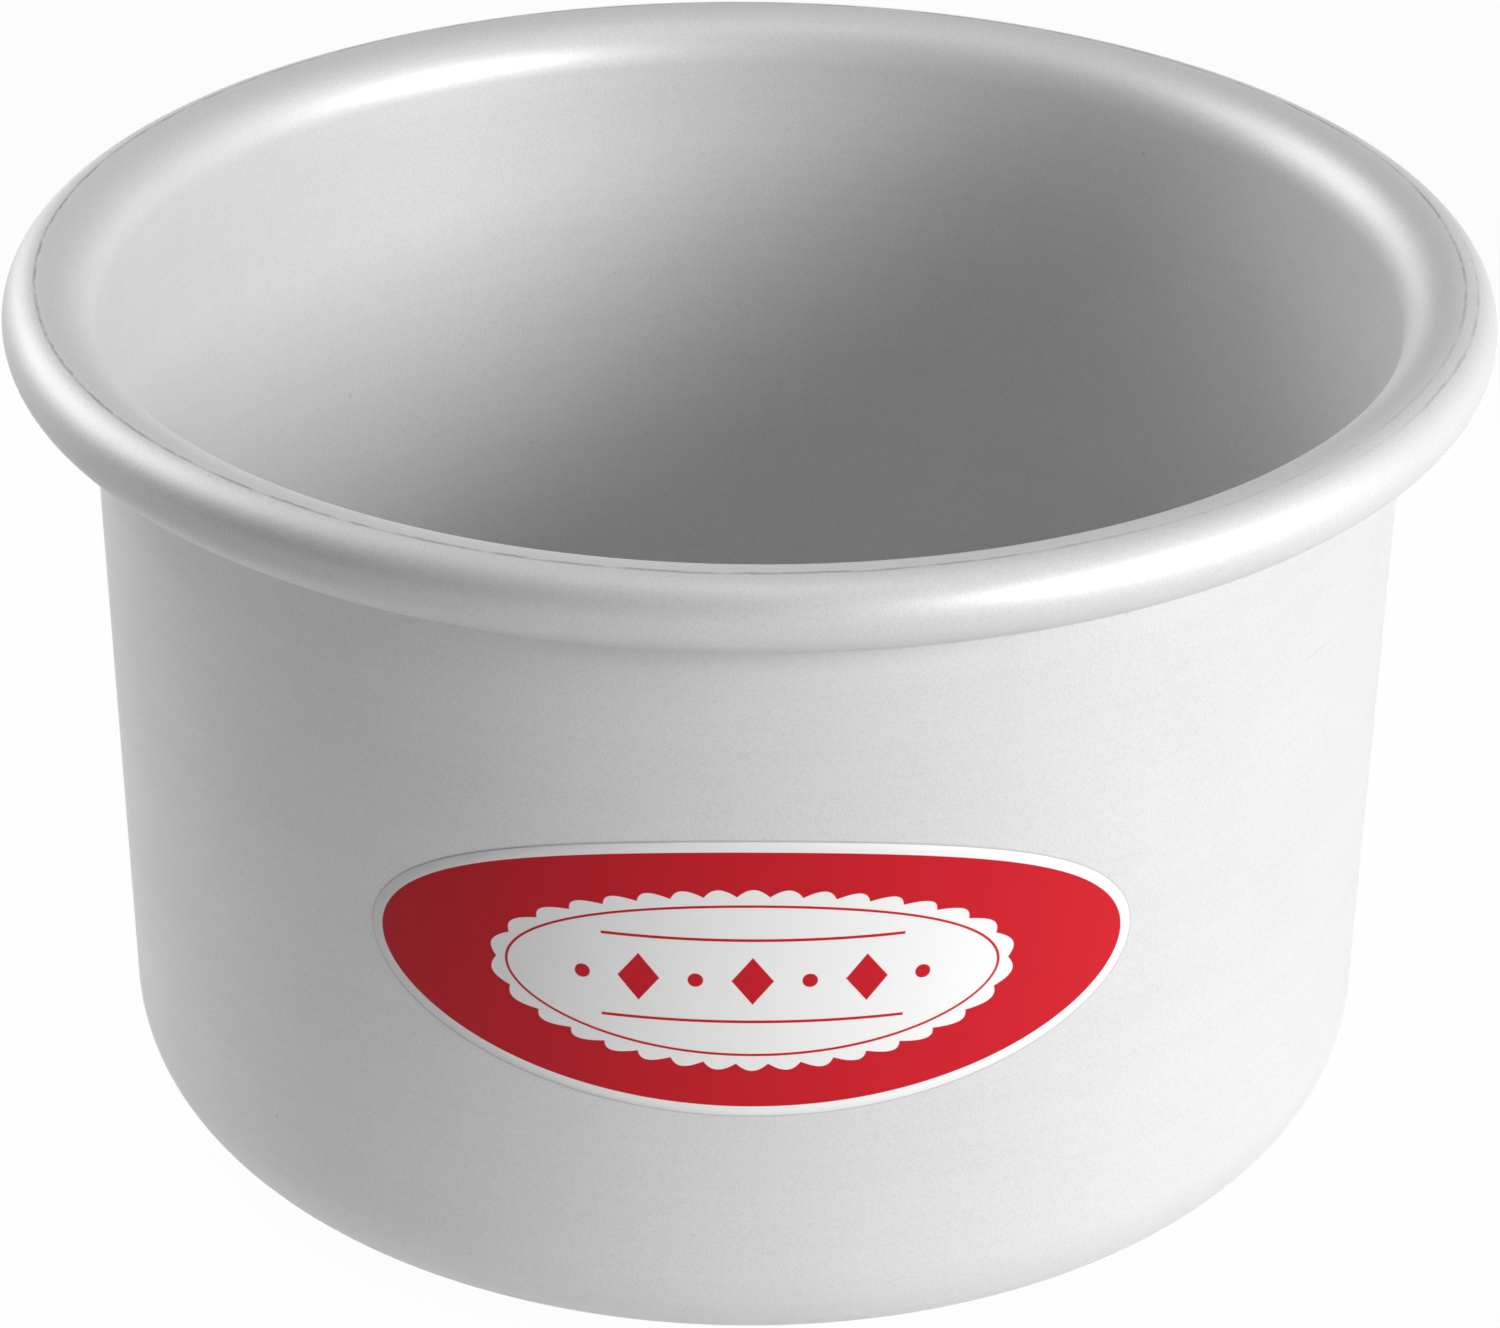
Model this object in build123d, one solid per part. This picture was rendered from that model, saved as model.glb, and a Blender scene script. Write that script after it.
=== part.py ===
from build123d import *
import math
import os

# A round cake tin: one sheet of aluminium formed into a flat base, a rounded corner and a nearly
# straight wall, with its top edge flared and rolled into a hollow bead, and an oval label on the front.
# Lengths are in millimetres and angles in degrees. The origin is at the middle of the underside,
# +Z is up, and the label faces -Y.

# Tin
overall_height = 105.0
mouth_diameter = 152.4
sheet_thickness = 1.0
wall_draft_angle = 1.0
base_corner_radius = 13.0

# Rolled rim
bead_radius = 4.45
bead_wall_gap = 0.80
largest_arc_turn = 45

# Label
label_width = 88.0
label_height = 35.0
label_centre_height = 52.3
label_film = 0.10
label_glue_line = 0.02
quarter_outline_points = 7

# The wall leans outwards by its draft, and its inner side would reach the mouth's radius at the rim's top.
mouth_radius = mouth_diameter / 2
draft_slope = math.tan(math.radians(wall_draft_angle))
draft_cosine = math.cos(math.radians(wall_draft_angle))


def wall_radius(height, depth):
    # Radius at a height of the line that lies this deep in the wall, measured square from its inner side
    return mouth_radius - (overall_height - height) * draft_slope + depth / draft_cosine


# The flare's radius leaves room for the sheet, the gap and half the bead beside the wall,
# so the flare and the bead share one crest, which is the top of the rim.
flare_radius = sheet_thickness + bead_wall_gap + bead_radius
flare_centre_height = overall_height - flare_radius
crest_radius = wall_radius(flare_centre_height, flare_radius)


def arc_run(centre, radius, start, turn):
    # An arc drawn in equal pieces, because short ones make far fewer facets once they are turned about the axis
    pieces = math.ceil(abs(turn) / largest_arc_turn)
    step = turn / pieces
    return [CenterArc(centre, radius, start + piece * step, step) for piece in range(pieces)]


def sheet_side(depth):
    # One side of the sheet in the profile, this deep below its upper side: base, corner, wall, flare and bead
    corner_radius = base_corner_radius - sheet_thickness + depth
    corner_centre = (wall_radius(base_corner_radius, sheet_thickness - base_corner_radius), base_corner_radius)
    corner = CenterArc(corner_centre, corner_radius, -90, 90 - wall_draft_angle)
    flare_centre = (crest_radius, flare_centre_height)
    flare = arc_run(flare_centre, flare_radius - depth, 180 - wall_draft_angle, wall_draft_angle - 90)
    # The bead rolls on for three quarters of a turn, so its free edge hides between its middle and the wall
    bead_centre = (crest_radius, overall_height - bead_radius)
    bead = arc_run(bead_centre, bead_radius - depth, 90, -270)
    base = Line((0, sheet_thickness - depth), corner @ 0)
    wall = Line(corner @ 1, flare[0] @ 0)
    return [base, corner, wall] + flare + bead


def make_tin_shell():
    # The whole sheet is one profile, turned once about the tin's axis
    upper_side = sheet_side(0)
    under_side = sheet_side(sheet_thickness)
    middle = Line(upper_side[0] @ 0, under_side[0] @ 0)
    free_edge = Line(upper_side[-1] @ 1, under_side[-1] @ 1)
    profile = make_face(upper_side + under_side + [middle, free_edge])
    return revolve(Plane.XZ * profile, Axis.Z, clean=False)


def label_outline():
    # Front view of the oval: it is a true ellipse while flat, and its ends foreshorten as it bends round the wall
    bend_radius = wall_radius(label_centre_height, sheet_thickness + label_glue_line)
    points = []
    for step in range(quarter_outline_points):
        turn = math.pi / 2 * step / (quarter_outline_points - 1)
        arc_along_wall = label_width / 2 * math.cos(turn)
        points.append((bend_radius * math.sin(arc_along_wall / bend_radius), label_height / 2 * math.sin(turn)))
    quarter = Spline(points, tangents=[(0, 1), (-1, 0)])
    upper_half = [quarter, mirror(quarter, Plane.YZ)]
    lower_half = [mirror(side, Plane.XZ) for side in upper_half]
    return Pos(0, label_centre_height) * make_face(upper_half + lower_half)


def make_label():
    # A band of film lies on the wall, and the oval is cut from its front
    film_back = sheet_thickness + label_glue_line
    film_face = film_back + label_film
    low = label_centre_height - label_height
    high = label_centre_height + label_height
    corners = [
        (wall_radius(low, film_back), low),
        (wall_radius(low, film_face), low),
        (wall_radius(high, film_face), high),
        (wall_radius(high, film_back), high),
    ]
    band = revolve(Plane.XZ * make_face(Polyline(corners, close=True)), Axis.Z)
    cutter = extrude(Plane.XZ * label_outline(), wall_radius(high, film_face) + label_width)
    return band & cutter


tin_shell = make_tin_shell()
label = make_label()

os.makedirs("parts", exist_ok=True)
export_step(tin_shell, "parts/tin_shell.step")
export_step(label, "parts/label.step")

print("rim diameter", round(2 * (crest_radius + bead_radius), 2), "flare radius", round(flare_radius, 2))
print("tin volume", round(tin_shell.volume, 1), "label volume", round(label.volume, 3))
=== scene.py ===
import math

import bmesh
import bpy
from mathutils import Matrix, Vector


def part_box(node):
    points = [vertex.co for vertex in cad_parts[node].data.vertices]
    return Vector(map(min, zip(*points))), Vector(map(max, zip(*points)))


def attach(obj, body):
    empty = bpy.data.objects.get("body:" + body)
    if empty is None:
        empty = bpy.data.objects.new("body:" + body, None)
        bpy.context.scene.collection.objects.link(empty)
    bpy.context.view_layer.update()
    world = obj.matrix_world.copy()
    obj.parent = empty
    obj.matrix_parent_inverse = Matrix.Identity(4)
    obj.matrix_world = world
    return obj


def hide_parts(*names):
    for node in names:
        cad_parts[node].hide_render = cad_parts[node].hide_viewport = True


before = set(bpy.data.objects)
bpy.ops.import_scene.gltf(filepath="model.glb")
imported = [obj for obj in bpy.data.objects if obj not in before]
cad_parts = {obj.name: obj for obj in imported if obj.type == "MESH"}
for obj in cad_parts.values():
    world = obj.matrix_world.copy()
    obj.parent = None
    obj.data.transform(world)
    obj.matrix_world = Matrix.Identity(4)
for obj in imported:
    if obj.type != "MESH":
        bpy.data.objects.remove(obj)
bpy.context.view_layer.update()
print("frame loaded")


class Wire:
    # A node's output that can stand in a sum: each operator adds the Math node that works it out
    def __init__(self, graph, socket):
        self.graph = graph
        self.socket = socket

    def __add__(self, other):
        return self.graph.math("ADD", self, other)

    def __radd__(self, other):
        return self.graph.math("ADD", other, self)

    def __sub__(self, other):
        return self.graph.math("SUBTRACT", self, other)

    def __rsub__(self, other):
        return self.graph.math("SUBTRACT", other, self)

    def __mul__(self, other):
        return self.graph.math("MULTIPLY", self, other)

    def __rmul__(self, other):
        return self.graph.math("MULTIPLY", other, self)

    def __truediv__(self, other):
        return self.graph.math("DIVIDE", self, other)

    def __rtruediv__(self, other):
        return self.graph.math("DIVIDE", other, self)

    def __neg__(self):
        return self.graph.math("MULTIPLY", self, -1.0)

    def __abs__(self):
        return self.graph.math("ABSOLUTE", self)


class Graph:
    # A node tree, and the one way in which its nodes are made
    def __init__(self, tree):
        self.tree = tree

    def node(self, kind, settings=None, inputs=None, out=0):
        made = self.tree.nodes.new(kind)
        for name, value in (settings or {}).items():
            setattr(made, name, value)
        for key, value in (inputs or {}).items():
            # A list is several wires into one socket
            for one in value if isinstance(value, list) else [value]:
                if isinstance(one, Wire):
                    self.tree.links.new(one.socket, made.inputs[key])
                else:
                    made.inputs[key].default_value = one
        return Wire(self, made.outputs[out]) if made.outputs else None

    def math(self, operation, *values):
        return self.node("ShaderNodeMath", {"operation": operation}, dict(enumerate(values)))

    def root(self, value):
        return self.math("SQRT", value)

    def square(self, value):
        return value * value

    def step(self, value, low, high):
        # 0 at low and 1 at high with a soft rise between, and low may be the larger
        return self.node("ShaderNodeMapRange", {"interpolation_type": "SMOOTHSTEP"},
                         {"Value": value, "From Min": low, "From Max": high})

    def point(self, x, y, z):
        return self.node("ShaderNodeCombineXYZ", inputs={"X": x, "Y": y, "Z": z})

    def parts(self, vector):
        return [self.node("ShaderNodeSeparateXYZ", inputs={0: vector}, out=axis) for axis in "XYZ"]

    def mix(self, share, first, second):
        return self.node("ShaderNodeMix", {"data_type": "RGBA"}, {0: share, 6: first, 7: second}, 2)

    def noise(self, vector, scale, detail=2.0):
        inputs = {"Vector": vector, "Scale": scale, "Detail": detail}
        return self.node("ShaderNodeTexNoise", inputs=inputs, out=0)


# Trees of Geometry Nodes

def newTree(name, sizes):
    # An empty tree with a named input for each size
    tree = bpy.data.node_groups.new(name, "GeometryNodeTree")
    tree.interface.new_socket("Geometry", in_out="OUTPUT", socket_type="NodeSocketGeometry")
    for label, value in sizes.items():
        kind = "NodeSocketInt" if isinstance(value, int) else "NodeSocketFloat"
        tree.interface.new_socket(label, in_out="INPUT", socket_type=kind)
    graph = Graph(tree)
    entry = tree.nodes.new("NodeGroupInput")
    return graph, {label: Wire(graph, entry.outputs[label]) for label in sizes}


def endTree(graph, geometry, material):
    geometry = graph.node("GeometryNodeRealizeInstances", inputs={"Geometry": geometry})
    geometry = graph.node("GeometryNodeSetMaterial", inputs={"Geometry": geometry, "Material": material})
    graph.node("NodeGroupOutput", inputs={0: geometry})


def plainMesh(name, graph, sizes):
    # Runs a tree once on a bare object and keeps what it makes as a plain mesh
    piece = bpy.data.objects.new(name, bpy.data.meshes.new(name))
    bpy.context.scene.collection.objects.link(piece)
    modifier = piece.modifiers.new("tree", "NODES")
    modifier.node_group = graph.tree
    for item in graph.tree.interface.items_tree:
        if item.in_out == "INPUT":
            modifier[item.identifier] = sizes[item.name]
    ready = piece.evaluated_get(bpy.context.evaluated_depsgraph_get())
    mesh = bpy.data.meshes.new_from_object(ready)
    piece.modifiers.remove(modifier)
    piece.data = mesh
    mesh.name = name
    work = bmesh.new()
    work.from_mesh(mesh)
    # The sweep can turn the sheet inside out
    bmesh.ops.recalc_face_normals(work, faces=work.faces)
    work.to_mesh(mesh)
    work.free()
    print(name, len(mesh.polygons), "faces")
    return piece


# The tin: one sheet, drawn as its section and turned about the axis

low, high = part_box("tin_shell")
tin = {
    "Height": high.z,
    "Rim Radius": high.x,
    "Sheet": 0.001,
    "Draft": math.radians(1.0),
    "Corner Radius": 0.013,
    "Bead Radius": 0.00445,
    "Bead Gap": 0.0008,
    "Turn Steps": 384,
    "Base Steps": 14,
    "Corner Steps": 16,
    "Wall Steps": 24,
    "Flare Steps": 12,
    "Bead Steps": 40,
    "Weld": 0.00002,
}


def buildTinTree(material):
    graph, size = newTree("tinTree", tin)
    sheet, bead, corner = size["Sheet"], size["Bead Radius"], size["Corner Radius"]
    slope, lean, rise = (graph.math(kind, size["Draft"]) for kind in ("TANGENT", "COSINE", "SINE"))
    flare = sheet + size["Bead Gap"] + bead
    crest = size["Rim Radius"] - bead
    flareHeight = size["Height"] - flare
    quarter = math.pi / 2

    def wallRadius(height, depth):
        # Radius of the line that lies this deep in the wall, where the crest is above the flare's centre
        return crest + (depth - flare) / lean - (flareHeight - height) * slope

    def arc(x, z, radius, start, sweep, steps):
        bend = graph.node("GeometryNodeCurveArc", {"mode": "RADIUS"}, {
            "Resolution": steps, "Radius": radius, "Start Angle": start, "Sweep Angle": sweep})
        return graph.node("GeometryNodeTransform", inputs={0: bend, "Translation": graph.point(x, z, 0.0)})

    def line(x0, z0, x1, z1, steps):
        straight = graph.node("GeometryNodeCurvePrimitiveLine", inputs={
            "Start": graph.point(x0, z0, 0.0), "End": graph.point(x1, z1, 0.0)})
        return graph.node("GeometryNodeSubdivideCurve", inputs={0: straight, "Cuts": steps})

    cornerMiddle = wallRadius(corner, sheet - corner)
    beadHeight = size["Height"] - bead
    sides = []
    for depth in (0.0, sheet):
        # Base, corner, wall, flare and rolled bead of one side of the sheet
        cornerSide, flareSide, beadSide = corner - sheet + depth, flare - depth, bead - depth
        sides.append([
            line(0.0, sheet - depth, cornerMiddle, sheet - depth, size["Base Steps"]),
            arc(cornerMiddle, corner, cornerSide, -quarter, quarter - size["Draft"], size["Corner Steps"]),
            line(cornerMiddle + cornerSide * lean, corner - cornerSide * rise,
                 crest - flareSide * lean, flareHeight + flareSide * rise, size["Wall Steps"]),
            arc(crest, flareHeight, flareSide, math.pi - size["Draft"], size["Draft"] - quarter,
                size["Flare Steps"]),
            arc(crest, beadHeight, beadSide, quarter, -3 * quarter, size["Bead Steps"]),
        ])
    edge = line(crest - bead, beadHeight, crest - bead + sheet, beadHeight, 1)
    underside = graph.node("GeometryNodeReverseCurve", inputs={
        0: graph.node("GeometryNodeJoinGeometry", inputs={0: sides[1]})})
    section = graph.node("GeometryNodeJoinGeometry", inputs={0: sides[0] + [edge, underside]})
    # The sweep hangs the section head down outside its ring, so it is turned over and moved in first
    section = graph.node("GeometryNodeTransform", inputs={
        0: section, "Translation": graph.point(-crest, 0.0, 0.0), "Scale": Vector((1, -1, 1))})
    ring = graph.node("GeometryNodeCurvePrimitiveCircle", inputs={
        "Resolution": size["Turn Steps"], "Radius": crest})
    shell = graph.node("GeometryNodeCurveToMesh", inputs={0: ring, 1: section})
    shell = graph.node("GeometryNodeMergeByDistance", inputs={0: shell, "Distance": size["Weld"]})
    endTree(graph, graph.node("GeometryNodeSetShadeSmooth", inputs={0: shell}), material)
    return graph


# The label: an oval of film, bent round the wall

label = {
    "Width": 0.088,
    "Tall": 0.035,
    "Centre Height": 0.0523,
    "Film": 0.0001,
    "Glue": 0.00002,
    "Soft Edge": 0.00004,
    "Wall Radius": 0.0,
    "Wall Slope": math.tan(tin["Draft"]),
    "Rings": 24,
    "Outline Steps": 192,
    "Weld": 0.000001,
}
# Outside radius of the wall at the middle of the label
label["Wall Radius"] = (
    tin["Rim Radius"] - tin["Bead Radius"]
    - (tin["Sheet"] + tin["Bead Gap"] + tin["Bead Radius"]) / math.cos(tin["Draft"])
    + tin["Sheet"] / math.cos(tin["Draft"])
    - (tin["Height"] - tin["Sheet"] - tin["Bead Gap"] - tin["Bead Radius"] - label["Centre Height"])
    * label["Wall Slope"]
)


def buildLabelTree(material):
    graph, size = newTree("labelTree", label)
    # A round disc of film with a soft edge is turned about its middle, then stretched to the oval and bent
    film, soft = size["Film"], size["Soft Edge"] / size["Tall"] * 2.0

    def run(points, steps):
        pieces = []
        for (x0, z0), (x1, z1) in zip(points, points[1:]):
            straight = graph.node("GeometryNodeCurvePrimitiveLine", inputs={
                "Start": graph.point(x0, z0, 0.0), "End": graph.point(x1, z1, 0.0)})
            pieces.append(graph.node("GeometryNodeSubdivideCurve", inputs={0: straight, "Cuts": steps}))
            steps = 0
        return pieces

    outline = run([(0.0, film), (1.0 - soft, film), (1.0, film - size["Soft Edge"]), (1.0, 0.0)],
                  size["Rings"])
    back = run([(1.0, 0.0), (0.0, 0.0)], size["Rings"])
    section = graph.node("GeometryNodeJoinGeometry", inputs={0: outline + back})
    section = graph.node("GeometryNodeTransform", inputs={
        0: section, "Translation": Vector((-1, 0, 0)), "Scale": Vector((1, -1, 1))})
    ring = graph.node("GeometryNodeCurvePrimitiveCircle", inputs={
        "Resolution": size["Outline Steps"], "Radius": 1.0})
    disc = graph.node("GeometryNodeCurveToMesh", inputs={0: ring, 1: section})
    disc = graph.node("GeometryNodeMergeByDistance", inputs={0: disc, "Distance": size["Weld"]})

    x, y, lift = graph.parts(graph.node("GeometryNodeInputPosition"))
    across, up = x * size["Width"] / 2.0, y * size["Tall"] / 2.0
    disc = graph.node("GeometryNodeStoreNamedAttribute", {"data_type": "FLOAT2", "domain": "CORNER"}, {
        0: disc, "Name": "print", "Value": graph.point(across, up, 0.0)})
    turn = across / (size["Wall Radius"] + size["Glue"])
    radius = size["Wall Radius"] + up * size["Wall Slope"] + size["Glue"] + lift
    place = graph.point(radius * graph.math("SINE", turn), -radius * graph.math("COSINE", turn),
                        size["Centre Height"] + up)
    disc = graph.node("GeometryNodeSetPosition", inputs={0: disc, "Position": place})
    endTree(graph, graph.node("GeometryNodeSetShadeSmooth", inputs={0: disc}), material)
    return graph


# Finishes

def newMaterial(name):
    material = bpy.data.materials.new(name)
    material.use_nodes = True
    material.node_tree.nodes.clear()
    return material, Graph(material.node_tree)


def endMaterial(graph, shader):
    graph.node("ShaderNodeOutputMaterial", inputs={"Surface": shader})


def ovalDistance(graph, across, up, halfWidth, halfHeight):
    # Distance outwards from an oval's line, true close to it
    reach = graph.root(graph.square(across / halfWidth) + graph.square(up / halfHeight))
    pull = graph.root(graph.square(across / halfWidth ** 2) + graph.square(up / halfHeight ** 2))
    return (reach - 1.0) * reach / pull


metalLook = {
    "pale": (0.72, 0.72, 0.72, 1),
    "dark": (0.57, 0.57, 0.57, 1),
    # Colour of the scuffs, scratch and specks, and of the painted shadow line round the label
    "wornAndShade": (0.20, 0.20, 0.20, 1),
    "metallic": 0.25,
    "roughness": 0.50,
    "cloudRoughness": 0.05,
    "streakRoughness": 0.06,
    "wornRoughness": 0.2,
    "meanShade": 0.25,
    "grainScale": 3600.0,
    "grainContrast": 1.25,
    "streakScale": 700.0,
    "streakDrift": 6.0,
    "streakContrast": 0.22,
    "cloudScale": 60.0,
    "cloudContrast": 0.3,
    "coarseDetail": 3.0,
    "bumpStrength": 0.15,
    "bumpDistance": 0.00002,
    "streakBump": 0.6,
    "wornBump": 2.0,
    "outsideFrom": -0.0006,
    "outsideTo": -0.0004,
    "crestFrom": 0.0016,
    "crestTo": 0.0006,
    "wanderScale": 95.0,
    "wander": 0.0004,
    "raggedScale": 900.0,
    "ragged": 0.0003,
    "raggedDepth": 0.8,
    "breakScale": 190.0,
    "breakFrom": 0.36,
    "breakTo": 0.60,
    "breakLeast": 0.35,
    "scuffRadius": 0.08285,
    "scuffHalfWidth": 0.00028,
    "scuffCore": 0.00005,
    "scuffDepth": 0.58,
    "scuffFadeTurn": math.radians(52.0),
    "scuffFadeHalfLength": math.radians(42.0),
    "scuffFadeCore": math.radians(14.0),
    "scuffFade": 0.7,
    "secondScuffRadius": 0.0843,
    "secondScuffTurn": math.radians(72.0),
    "secondScuffHalfLength": math.radians(38.0),
    "secondScuffDepth": 0.36,
    # A thin dark line on the metal round the label: dust, and a painted shadow of the label's edge
    "labelEdgeHalfWidth": 0.00032,
    "labelEdgeCore": 0.00008,
    "labelDustAndShadeDepth": 0.30,
    "hairlineHeight": 0.0753,
    "hairlineTurn": math.radians(56.0),
    "hairlineHalfLength": math.radians(4.0),
    "hairlineHalfWidth": 0.00013,
    "hairlineCore": 0.00002,
    "hairlineRagged": 0.0002,
    "hairlineDepth": 0.22,
    "speckScale": 520.0,
    "speckDetail": 1.0,
    "speckFrom": 0.80,
    "speckTo": 0.84,
    "speckDepth": 0.20,
}


def buildMetal():
    look = metalLook
    material, graph = newMaterial("anodised_aluminium")
    place = graph.node("ShaderNodeTexCoord", out="Object")
    x, y, z = graph.parts(place)
    radius = graph.root(graph.square(x) + graph.square(y))
    turn = graph.math("ARCTAN2", x, -y)
    up = z - label["Centre Height"]
    wall = label["Wall Radius"] + up * label["Wall Slope"]
    outside = graph.step(radius - wall, look["outsideFrom"], look["outsideTo"])

    # Fine etched grain, slow clouding, and faint streaks that run round as the spinning tool left them
    grain = graph.noise(place, look["grainScale"]) - 0.5
    cloud = graph.noise(place, look["cloudScale"], look["coarseDetail"]) - 0.5
    drift = look["streakDrift"]
    rings = graph.point(x * drift, y * drift, (z + radius) * look["streakScale"])
    streaks = graph.noise(rings, 1.0, look["coarseDetail"]) - 0.5
    shade = look["meanShade"] + grain * look["grainContrast"] + streaks * look["streakContrast"]
    shade = shade + cloud * look["cloudContrast"]

    # The crest of the rim is scuffed in two thin ragged lines, where tins stand in each other.
    # The main one fades at the front right, and the second is there and on the right alone.
    wander = (graph.noise(place, look["wanderScale"]) - 0.5) * look["wander"]
    ragged = graph.noise(place, look["raggedScale"]) - 0.5
    breaks = graph.step(graph.noise(place, look["breakScale"]), look["breakFrom"], look["breakTo"])
    breaks = breaks * (1.0 - look["breakLeast"]) + look["breakLeast"]
    onTop = graph.step(z, tin["Height"] - look["crestFrom"], tin["Height"] - look["crestTo"])
    shaky = radius + wander + ragged * look["ragged"]
    scuff = graph.step(abs(shaky - look["scuffRadius"]), look["scuffHalfWidth"], look["scuffCore"])
    fade = graph.step(abs(turn - look["scuffFadeTurn"]), look["scuffFadeHalfLength"], look["scuffFadeCore"])
    scuff = scuff * (breaks + ragged * look["raggedDepth"]) * (1.0 - fade * look["scuffFade"])
    second = graph.step(abs(shaky - look["secondScuffRadius"]), look["scuffHalfWidth"], look["scuffCore"])
    second = second * breaks
    second = second * graph.step(abs(turn - look["secondScuffTurn"]), look["secondScuffHalfLength"], 0.0)
    marksAndShade = (scuff * look["scuffDepth"] + second * look["secondScuffDepth"]) * onTop

    # A line of dust and painted shadow round the label's edge, a hairline scratch on the right, and a few
    # tiny specks
    fromLabel = ovalDistance(graph, turn * wall, up, label["Width"] / 2, label["Tall"] / 2)
    edge = graph.step(abs(fromLabel), look["labelEdgeHalfWidth"], look["labelEdgeCore"])
    fromHairline = abs(z - look["hairlineHeight"] + ragged * look["hairlineRagged"])
    hairline = graph.step(fromHairline, look["hairlineHalfWidth"], look["hairlineCore"])
    hairline = hairline * graph.step(abs(turn - look["hairlineTurn"]), look["hairlineHalfLength"], 0.0)
    speck = graph.noise(place, look["speckScale"], look["speckDetail"])
    speck = graph.step(speck, look["speckFrom"], look["speckTo"])
    marksAndShade = marksAndShade + (edge * look["labelDustAndShadeDepth"] + hairline * look["hairlineDepth"]) * outside
    marksAndShade = marksAndShade + speck * look["speckDepth"]

    colour = graph.mix(shade, look["pale"], look["dark"])
    # The marks darken the metal; round the label this darkening is a painted shadow as well as dust
    colour = graph.mix(marksAndShade, colour, look["wornAndShade"])
    roughness = look["roughness"] + cloud * look["cloudRoughness"] + streaks * look["streakRoughness"]
    roughness = roughness + marksAndShade * look["wornRoughness"]
    bump = graph.node("ShaderNodeBump", inputs={
        "Strength": look["bumpStrength"], "Distance": look["bumpDistance"],
        "Height": grain + streaks * look["streakBump"] - marksAndShade * look["wornBump"]})
    shader = graph.node("ShaderNodeBsdfPrincipled", inputs={
        "Base Color": colour, "Metallic": look["metallic"], "Roughness": roughness, "Normal": bump})
    endMaterial(graph, shader)
    return material


labelLook = {
    "red": (0.55, 0.005, 0.015, 1),
    "paleRed": (0.60, 0.012, 0.026, 1),
    "white": (0.90, 0.90, 0.895, 1),
    "dullWhite": (0.84, 0.84, 0.835, 1),
    "grainScale": 2600.0,
    "grainDetail": 3.0,
    "grainContrast": 0.5,
    "meanShade": 0.2,
    "roughness": 0.55,
    "roughnessGrain": 0.1,
    "specular": 0.2,
    "bumpStrength": 0.1,
    "bumpDistance": 0.00002,
    "crisp": 0.00005,
    "border": 0.00125,
    "panelHalfWidth": 0.0290,
    "panelHalfHeight": 0.0112,
    "scallops": 34,
    "scallopDepth": 0.0009,
    "scallopLevel": 0.6,
    "keylineInset": 0.0017,
    "keylineHalfWidth": 0.00016,
    "motifs": 7,
    "pitch": 0.0062,
    "diamondHalfWidth": 0.0023,
    "diamondHalfHeight": 0.0030,
    "diamondCrisp": 0.03,
    "dotRadius": 0.00085,
    "ruleHeight": 0.0052,
    "ruleHalfWidth": 0.00018,
    "ruleHalfLength": 0.0165,
}


def buildLabelFilm():
    look = labelLook
    material, graph = newMaterial("label_film")
    flat = graph.node("ShaderNodeUVMap", {"uv_map": "print"})
    across, up, _ = graph.parts(flat)

    def under(value, limit):
        # 1 where a value is under its limit, with a crisp edge
        return graph.step(value, limit + look["crisp"], limit - look["crisp"])

    fromEdge = ovalDistance(graph, across, up, label["Width"] / 2, label["Tall"] / 2)
    field = under(fromEdge, -look["border"])
    # The panel's edge is a row of even scallops, so their count follows the length of the oval's line
    wide, tall = look["panelHalfWidth"], look["panelHalfHeight"]
    turn = graph.math("ARCTAN2", up / tall, across / wide)
    even = turn - 0.5 * (wide - tall) / (wide + tall) * graph.math("SINE", turn * 2.0)
    wave = abs(graph.math("SINE", even * (look["scallops"] / 2)))
    fromPanel = ovalDistance(graph, across, up, wide, tall)
    panel = under(fromPanel - (wave - look["scallopLevel"]) * look["scallopDepth"], 0.0)
    keyline = under(abs(fromPanel + look["keylineInset"]), look["keylineHalfWidth"])
    # A row of dots and diamonds in turn between two rules
    pitch = look["pitch"]
    cell = graph.math("FLOORED_MODULO", across + pitch / 2, pitch) - pitch / 2
    odd = graph.math("FLOORED_MODULO", graph.math("ROUND", across / pitch), 2.0)
    diamond = abs(cell) / look["diamondHalfWidth"] + abs(up) / look["diamondHalfHeight"]
    diamond = graph.step(diamond, 1.0 + look["diamondCrisp"], 1.0 - look["diamondCrisp"])
    dot = under(graph.root(graph.square(cell) + graph.square(up)), look["dotRadius"])
    row = (diamond * (1.0 - odd) + dot * odd) * under(abs(across), pitch * look["motifs"] / 2)
    rules = under(abs(abs(up) - look["ruleHeight"]), look["ruleHalfWidth"])
    rules = rules * under(abs(across), look["ruleHalfLength"])
    printed = field * (1.0 - panel * (1.0 - keyline) * (1.0 - row) * (1.0 - rules))

    place = graph.node("ShaderNodeTexCoord", out="Object")
    grain = graph.noise(place, look["grainScale"], look["grainDetail"])
    shade = (grain - 0.5) * look["grainContrast"] + look["meanShade"]
    red = graph.mix(shade, look["red"], look["paleRed"])
    white = graph.mix(shade, look["white"], look["dullWhite"])
    bump = graph.node("ShaderNodeBump", inputs={
        "Strength": look["bumpStrength"], "Distance": look["bumpDistance"], "Height": grain})
    shader = graph.node("ShaderNodeBsdfPrincipled", inputs={
        "Base Color": graph.mix(printed, white, red), "Specular IOR Level": look["specular"],
        "Roughness": look["roughness"] + (grain - 0.5) * look["roughnessGrain"], "Normal": bump})
    endMaterial(graph, shader)
    return material


tinShell = plainMesh("tinShell", buildTinTree(buildMetal()), tin)
ovalLabel = plainMesh("ovalLabel", buildLabelTree(buildLabelFilm()), label)
for piece, node, slot in (
        (tinShell, "tin_shell", "anodised_aluminium"), (ovalLabel, "label", "label_film")):
    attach(piece, "root")
    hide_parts(node)
print("pieces made")


# The studio: a card on a table, a low white wall behind, four soft boxes and the camera

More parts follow.
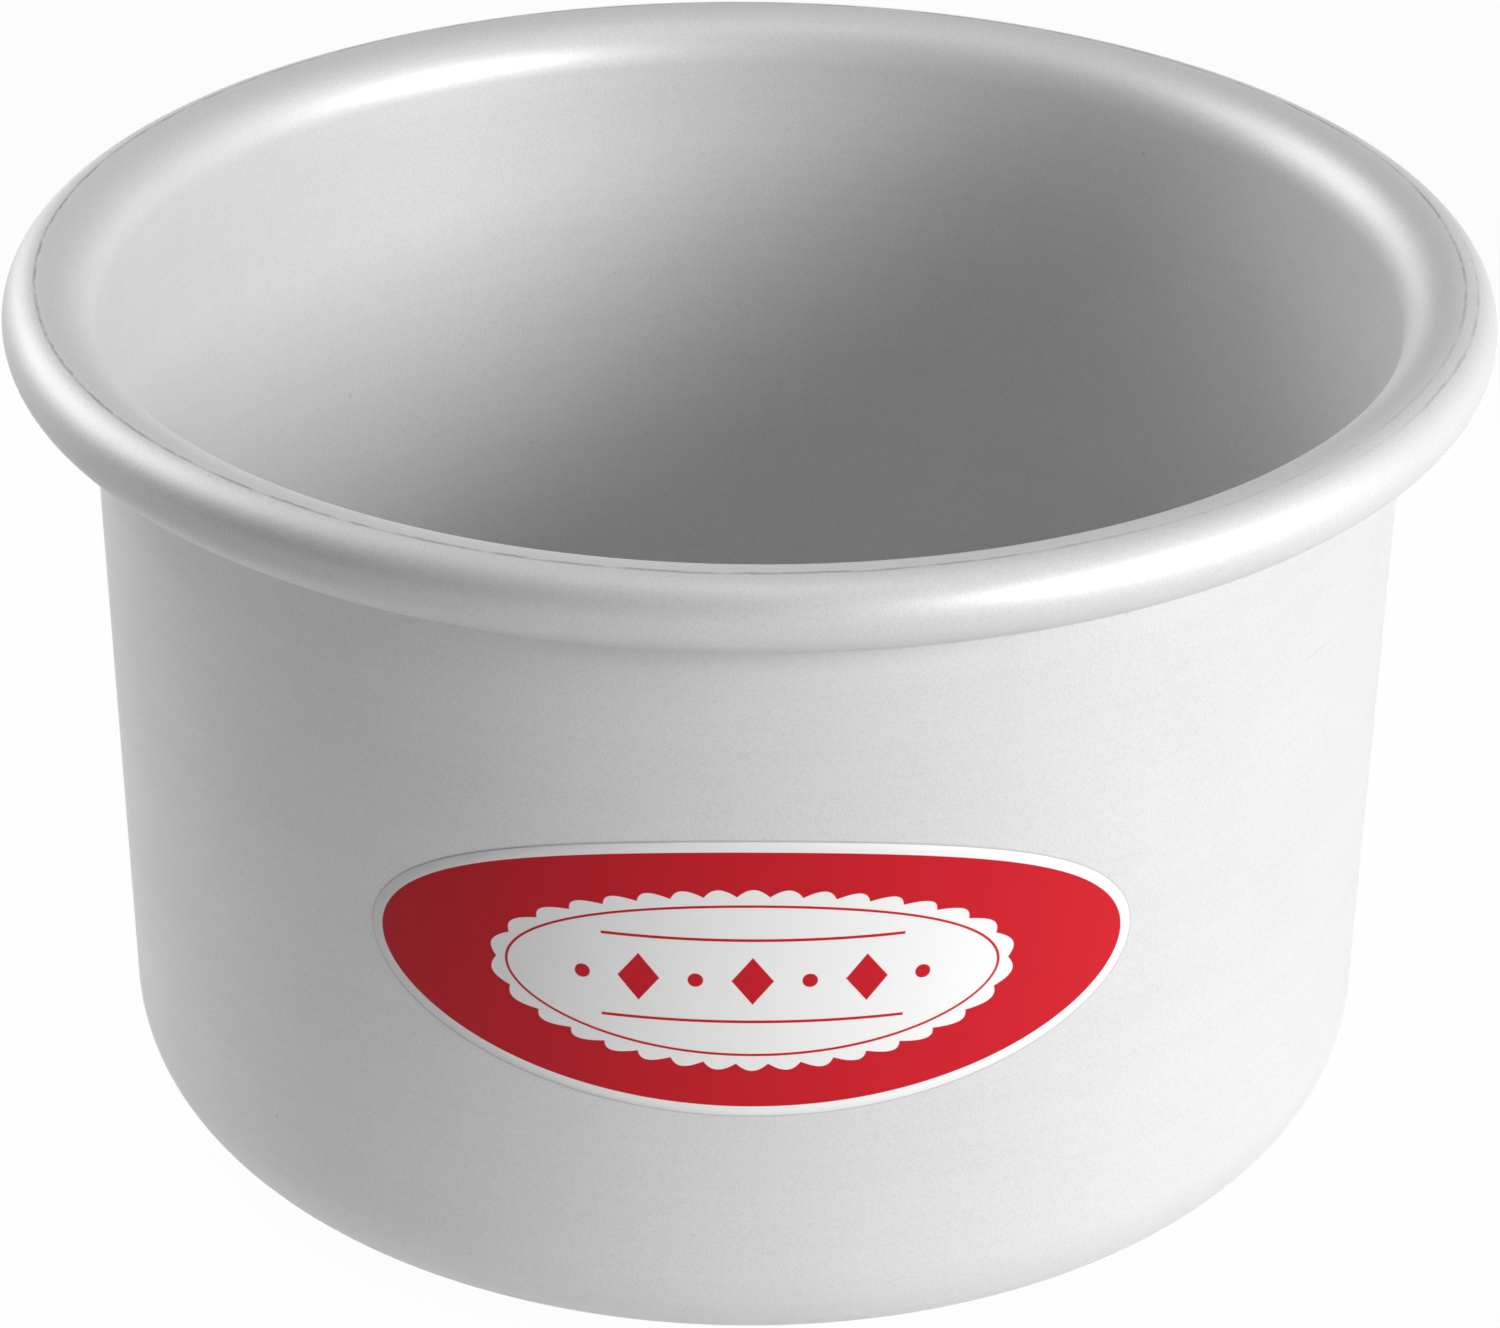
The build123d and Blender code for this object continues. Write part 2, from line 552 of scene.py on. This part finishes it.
studio = {
    "floorSize": 14.0,
    "floorDrop": 0.00005,
    "edgeWidth": 0.3,
    "edgeRise": 0.6,
    "cardColour": (0.80, 0.80, 0.80, 1),
    "cardRadius": 0.20,
    "cardFade": 0.08,
    "tableColour": (0.10, 0.10, 0.10, 1),
    "floorGlow": 0.97,
    "skyLevel": 0.05,
    "frontShare": 0.05,
    "frontEnd": -0.2,
    "backEnd": 0.6,
    "wallTop": math.radians(16.0),
    "wallFull": math.radians(8.0),
    "lightReach": 1.2,
}


def buildFloor():
    mesh = bpy.data.meshes.new("floor")
    # The far edge turns up, so that low views end in the same white on every side
    corners = []
    for half, height in ((studio["floorSize"] / 2, -studio["floorDrop"]),
                         (studio["floorSize"] / 2 + studio["edgeWidth"], studio["edgeRise"])):
        corners += [(x * half, y * half, height) for x, y in ((-1, -1), (1, -1), (1, 1), (-1, 1))]
    sides = [(side, (side + 1) % 4, (side + 1) % 4 + 4, side + 4) for side in range(4)]
    mesh.from_pydata(corners, [], [(0, 1, 2, 3)] + sides)
    floor = bpy.data.objects.new("floor", mesh)
    bpy.context.scene.collection.objects.link(floor)
    # A pale card under the tin and a darker table round it light the tin from below, as in the photograph.
    # All of it looks white to the camera and in reflections, yet keeps a trace of the tin's shadow.
    material, graph = newMaterial("pale_floor")
    path = [graph.node("ShaderNodeLightPath", out=name) for name in
            ("Is Camera Ray", "Is Glossy Ray", "Is Transmission Ray")]
    seen = graph.math("MAXIMUM", graph.math("MAXIMUM", path[0], path[1]), path[2])
    x, y, _ = graph.parts(graph.node("ShaderNodeTexCoord", out="Object"))
    away = graph.root(graph.square(x) + graph.square(y))
    card = graph.step(away, studio["cardRadius"] + studio["cardFade"], studio["cardRadius"])
    colour = graph.mix(card, studio["tableColour"], studio["cardColour"])
    paper = graph.node("ShaderNodeBsdfDiffuse", inputs={"Color": colour})
    glow = graph.node("ShaderNodeEmission", inputs={"Color": (1, 1, 1, 1), "Strength": 1.0})
    share = seen * studio["floorGlow"]
    endMaterial(graph, graph.node("ShaderNodeMixShader", inputs={0: share, 1: paper, 2: glow}))
    mesh.materials.append(material)


def buildWorld():
    # A low white wall behind the tin, with the room nearly dark in front of the tin and above the wall
    world = bpy.data.worlds.new("studio")
    bpy.context.scene.world = world
    world.use_nodes = True
    world.node_tree.nodes.clear()
    graph = Graph(world.node_tree)
    across, back, height = graph.parts(graph.node("ShaderNodeTexCoord", out="Generated"))
    wall = graph.step(height, math.sin(studio["wallTop"]), math.sin(studio["wallFull"]))
    behind = graph.step(back, studio["frontEnd"], studio["backEnd"])
    wall = wall * (studio["frontShare"] + behind * (1.0 - studio["frontShare"]))
    level = studio["skyLevel"] + wall * (1.0 - studio["skyLevel"])
    sky = graph.node("ShaderNodeBackground", inputs={0: (1, 1, 1, 1), 1: level})
    graph.node("ShaderNodeOutputWorld", inputs={"Surface": sky})


lights = {
    "keyBox": {"azimuth": 55.0, "elevation": 20.0, "width": 0.65, "height": 0.38, "level": 19.4},
    "sideBox": {"azimuth": 93.0, "elevation": 42.0, "width": 0.5, "height": 0.7, "level": 1.5},
    "backBox": {"azimuth": -126.0, "elevation": 30.0, "width": 0.8, "height": 0.75, "level": 5.3},
    "topBox": {"azimuth": 20.0, "elevation": 78.0, "width": 0.6, "height": 0.6, "level": 1.8},
}


def buildLights():
    # Each soft box faces the tin at its bearing from the front, and its level is its own brightness
    for name, light in lights.items():
        azimuth, elevation = math.radians(light["azimuth"]), math.radians(light["elevation"])
        level = math.cos(elevation)
        away = Vector((math.sin(azimuth) * level, -math.cos(azimuth) * level, math.sin(elevation)))
        data = bpy.data.lights.new(name, "AREA")
        data.shape = "RECTANGLE"
        data.size = light["width"]
        data.size_y = light["height"]
        data.energy = light["level"] * math.pi * light["width"] * light["height"]
        lamp = bpy.data.objects.new(name, data)
        lamp.location = Vector((0, 0, tin["Height"] / 2)) + away * studio["lightReach"]
        lamp.rotation_euler = away.to_track_quat("Z", "Y").to_euler()
        bpy.context.scene.collection.objects.link(lamp)


view = {
    "lens": 116.14,
    "sensor": 36.0,
    "elevation": math.radians(28.064),
    "bearing": math.radians(-0.722),
    "distance": 0.59038,
    "aimHeight": 0.05038,
    "swing": math.radians(0.045),
    "roll": math.radians(0.522),
}


def buildCamera():
    data = bpy.data.cameras.new("camera")
    data.lens, data.sensor_width, data.sensor_fit = view["lens"], view["sensor"], "HORIZONTAL"
    camera = bpy.data.objects.new("camera", data)
    turn, rise = view["swing"] - view["bearing"], view["elevation"]
    forward = Vector((math.sin(turn) * math.cos(rise), math.cos(turn) * math.cos(rise),
                      -math.sin(rise)))
    right = Vector((math.cos(turn), -math.sin(turn), 0))
    up = right.cross(forward)
    tipped = right * math.cos(view["roll"]) + up * math.sin(view["roll"])
    camera.matrix_world = Matrix((tipped, tipped.cross(forward), -forward)).transposed().to_4x4()
    reach = view["distance"] * math.cos(rise)
    camera.location = (reach * math.sin(view["bearing"]), -reach * math.cos(view["bearing"]),
                       view["aimHeight"] + view["distance"] * math.sin(rise))
    bpy.context.scene.collection.objects.link(camera)
    bpy.context.scene.camera = camera


buildFloor()
buildWorld()
buildLights()
buildCamera()
bpy.context.scene.view_settings.view_transform = "Standard"
print("studio made")
